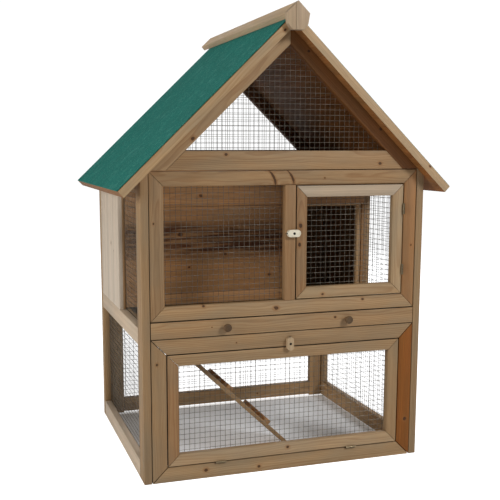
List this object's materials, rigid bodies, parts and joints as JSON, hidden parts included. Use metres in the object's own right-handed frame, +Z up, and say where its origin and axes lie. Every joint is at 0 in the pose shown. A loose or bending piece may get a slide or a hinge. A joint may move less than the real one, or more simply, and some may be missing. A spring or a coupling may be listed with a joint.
{
  "type": "rabbit hutch",
  "caption": "Two-storey wooden rabbit hutch: wire run below, home with nest room above, drop-down and swinging wire doors, slide-out floor drawer, ramp, felted gable roof.",
  "frame": {"origin": "on the ground, at the centre of the hutch's whole bounding box seen from above", "axes": "+X to the right along the front with the doors, +Y from the front to the back, +Z up towards the ridge"},
  "size_m": [0.824, 0.701, 1.1035],
  "materials": {
    "fir_wood": "planed untreated fir, weathered beige with brown knots",
    "galvanised_wire": "galvanised welded wire",
    "hinge_steel": "yellow zinc-plated steel",
    "green_roofing_felt": "bitumen felt with fine green mineral grit",
    "cream_plastic": "moulded cream plastic"
  },
  "bodies": {
    "hutch": {"back_boarding": "fir_wood", "back_bottom_rail": "fir_wood", "back_gable_frame": "fir_wood", "back_gable_wire": "galvanised_wire", "back_left_stile": "fir_wood", "back_mid_rail": "fir_wood", "back_right_stile": "fir_wood", "back_run_wire": "galvanised_wire", "front_gable_frame": "fir_wood", "front_gable_wire": "galvanised_wire", "front_mullion": "fir_wood", "front_window_wire": "galvanised_wire", "left_bottom_rail": "fir_wood", "left_front_stile": "fir_wood", "left_mid_rail": "fir_wood", "left_nest_boarding": "fir_wood", "left_rear_stile": "fir_wood", "left_ridge_board": "fir_wood", "left_roof_felt": "green_roofing_felt", "left_roof_panel": "fir_wood", "left_run_wire": "galvanised_wire", "left_runner": "fir_wood", "left_top_rail": "fir_wood", "left_window_wire": "galvanised_wire", "lower_front_frame": "fir_wood", "lower_left_hinge_fixed_leaf": "hinge_steel", "lower_right_hinge_fixed_leaf": "hinge_steel", "nest_wall": "fir_wood", "ramp_rod": "hinge_steel", "ridge_finial": "fir_wood", "right_bottom_rail": "fir_wood", "right_front_stile": "fir_wood", "right_mid_rail": "fir_wood", "right_nest_boarding": "fir_wood", "right_rear_stile": "fir_wood", "right_ridge_board": "fir_wood", "right_roof_felt": "green_roofing_felt", "right_roof_panel": "fir_wood", "right_run_wire": "galvanised_wire", "right_runner": "fir_wood", "right_top_rail": "fir_wood", "right_window_wire": "galvanised_wire", "upper_bottom_hinge_fixed_leaf": "hinge_steel", "upper_front_frame": "fir_wood", "upper_top_hinge_fixed_leaf": "hinge_steel"},
    "upper_door": {"upper_door_frame": "fir_wood", "upper_door_wire": "galvanised_wire", "upper_bottom_hinge_door_leaf": "hinge_steel", "upper_top_hinge_door_leaf": "hinge_steel"},
    "lower_door": {"lower_door_frame": "fir_wood", "lower_door_wire": "galvanised_wire", "lower_left_hinge_door_leaf": "hinge_steel", "lower_right_hinge_door_leaf": "hinge_steel"},
    "upper_button": {"upper_turn_button": "cream_plastic"},
    "lower_button": {"lower_turn_button": "fir_wood"},
    "drawer": {"drawer_front": "fir_wood", "drawer_pan": "fir_wood", "drawer_left_knob": "fir_wood", "drawer_right_knob": "fir_wood"},
    "ramp": {"ramp": "fir_wood"}
  },
  "joints": [
    {"name": "upper_door_hinge", "type": "hinge", "parent": "hutch", "child": "upper_door", "pos_m": [0.30075, -0.3074, 0.55675], "axis": [0, 0, 1], "range_deg": [0, 110]},
    {"name": "lower_door_hinge", "type": "hinge", "parent": "hutch", "child": "lower_door", "pos_m": [0, -0.3074, 0.03675], "axis": [1, 0, 0], "range_deg": [0, 95]},
    {"name": "upper_button_turn", "type": "hinge", "parent": "hutch", "child": "upper_button", "pos_m": [0.0102, -0.3048, 0.58], "axis": [0, 1, 0], "range_deg": [0, 90]},
    {"name": "lower_button_turn", "type": "hinge", "parent": "hutch", "child": "lower_button", "pos_m": [0.0035, -0.3048, 0.3148], "axis": [0, 1, 0], "range_deg": [0, 90]},
    {"name": "drawer_slide", "type": "slide", "parent": "hutch", "child": "drawer", "axis": [0, -1, 0], "range_m": [0, 0.42]},
    {"name": "ramp_hinge", "type": "hinge", "parent": "hutch", "child": "ramp", "pos_m": [-0.2805, -0.152, 0.3313], "axis": [0, -1, 0], "range_deg": [0, 40]}
  ]
}
